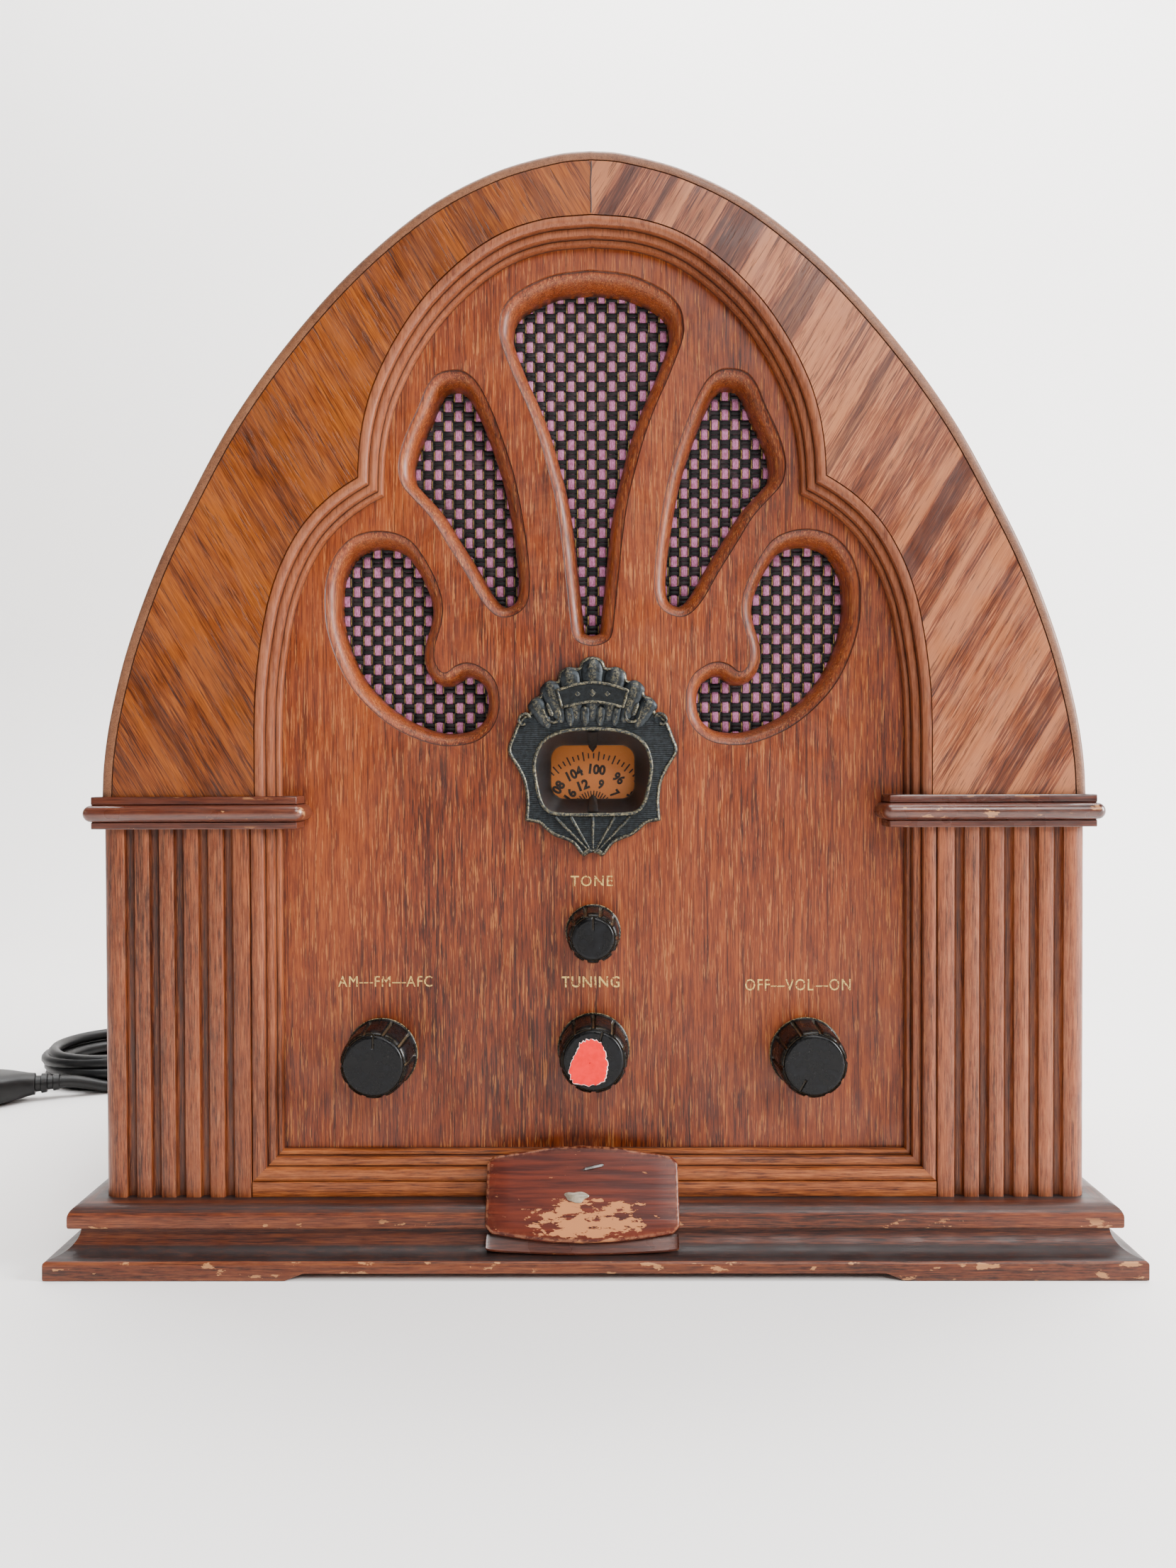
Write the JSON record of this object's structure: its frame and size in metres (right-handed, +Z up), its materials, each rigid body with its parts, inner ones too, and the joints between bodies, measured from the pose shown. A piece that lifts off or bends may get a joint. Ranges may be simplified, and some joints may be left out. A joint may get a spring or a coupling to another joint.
{
  "type": "tabletop radio",
  "caption": "Arched wooden table radio with a pierced grille front, framed dial window, round push-on knobs and fluted side columns on a moulded plinth.",
  "frame": {"origin": "centre of the plinth's footprint, on the surface the radio stands on", "axes": "+Z up, -Y towards the listener (front), +X to the listener's right"},
  "size_m": [0.4311, 0.2635, 0.311],
  "materials": {
    "walnut": "semi-gloss lacquer over red-brown stained walnut",
    "panel_wood": "satin lacquer over stained straight-grain veneer",
    "burl_left": "semi-gloss lacquer over figured veneer, the darker half of a book match",
    "burl_right": "semi-gloss lacquer over figured veneer, the lighter half of a book match",
    "board": "bare sawn board",
    "worn_tablet": "stained hardwood with bare worn patches",
    "cloth": "woven loudspeaker cloth, pink cells between dark cords with fine gold threads",
    "plated_steel": "zinc plated",
    "cone_paper": "pulp paper",
    "antique_metal": "dark antiqued casting with brassy worn edges",
    "clear_lens": "clear, polished",
    "dial_print": "orange disc with black figures",
    "ivory_plastic": "moulded",
    "aluminium_parts": "mill finish",
    "lamp_glass": "clear bulb",
    "cord_yarn": "braided drive cord",
    "brass_parts": "machined",
    "knob_plastic": "moulded black phenolic with dusty grip slots",
    "sticker": "worn round label, blank",
    "phenolic": "paper-phenolic laminate",
    "capacitor_sleeve": "shrink sleeve",
    "ferrite": "sintered rod with wound coils",
    "core_steel": "varnished laminations",
    "hardboard": "pressed board, smooth side out",
    "cord_plastic": "flexible vinyl"
  },
  "bodies": {
    "cabinet": {"base_board": "board", "plinth_front": "walnut", "plinth_left": "walnut", "plinth_right": "walnut", "cabinet_shell": "walnut", "front_baffle": "panel_wood", "arch_frame_left": "burl_left", "arch_frame_right": "burl_right", "arch_moulding_left": "walnut", "arch_moulding_right": "walnut", "side_moulding_left": "walnut", "side_moulding_right": "walnut", "bottom_rail": "walnut", "column_left": "walnut", "column_right": "walnut", "capital_left": "walnut", "capital_right": "walnut", "plaque": "worn_tablet", "plaque_block": "walnut", "grille_cloth": "cloth", "speaker_basket": "plated_steel", "speaker_cone": "cone_paper", "speaker_magnet": "plated_steel", "speaker_screws": "plated_steel", "dial_escutcheon": "antique_metal", "dial_lens": "clear_lens", "tuning_capacitor": "aluminium_parts", "chassis_bracket": "plated_steel", "dial_lamp": "lamp_glass", "dial_cord": "cord_yarn", "band_switch": "phenolic", "volume_pot": "plated_steel", "tone_pot": "plated_steel", "control_nuts": "brass_parts", "circuit_board": "phenolic", "if_cans": "aluminium_parts", "electrolytics": "capacitor_sleeve", "ferrite_antenna": "ferrite", "power_transformer": "core_steel", "back_panel": "hardboard", "back_cleats": "board", "back_screws": "plated_steel", "strain_relief": "cord_plastic", "cord_run": "cord_plastic", "cord_coil": "cord_plastic", "cord_tail": "cord_plastic", "plug": "cord_plastic", "plug_blades": "brass_parts"},
    "volume": {"knob_volume": "knob_plastic", "volume_shaft": "plated_steel"},
    "tone": {"knob_tone": "knob_plastic", "tone_shaft": "plated_steel"},
    "band": {"knob_band": "knob_plastic", "band_shaft": "plated_steel"},
    "tuning": {"knob_tuning": "knob_plastic", "knob_sticker": "sticker", "tuning_shaft": "brass_parts"},
    "dial": {"dial_disc": "dial_print", "dial_drum": "ivory_plastic", "dial_shaft": "plated_steel"}
  },
  "joints": [
    {"name": "volume_turn", "type": "hinge", "parent": "cabinet", "child": "volume", "pos_m": [0.0605, -0.069, 0.0576], "axis": [0, 1, 0], "range_deg": [0, 300]},
    {"name": "tone_turn", "type": "hinge", "parent": "cabinet", "child": "tone", "pos_m": [0, -0.069, 0.0924], "axis": [0, 1, 0], "range_deg": [-150, 150]},
    {"name": "band_turn", "type": "hinge", "parent": "cabinet", "child": "band", "pos_m": [-0.0605, -0.069, 0.0576], "axis": [0, 1, 0], "range_deg": [-30, 30]},
    {"name": "dial_turn", "type": "hinge", "parent": "cabinet", "child": "dial", "pos_m": [0, -0.055, 0.1264], "axis": [0, 1, 0], "range_deg": [-112, 68]},
    {"name": "tuning_turn", "type": "hinge", "parent": "cabinet", "child": "tuning", "pos_m": [0, -0.069, 0.059], "axis": [0, 1, 0], "range_deg": [-680, 415]}
  ],
  "couplings": [
    {"joint": "tuning_turn", "follows": "dial_turn", "ratio": 6}
  ]
}
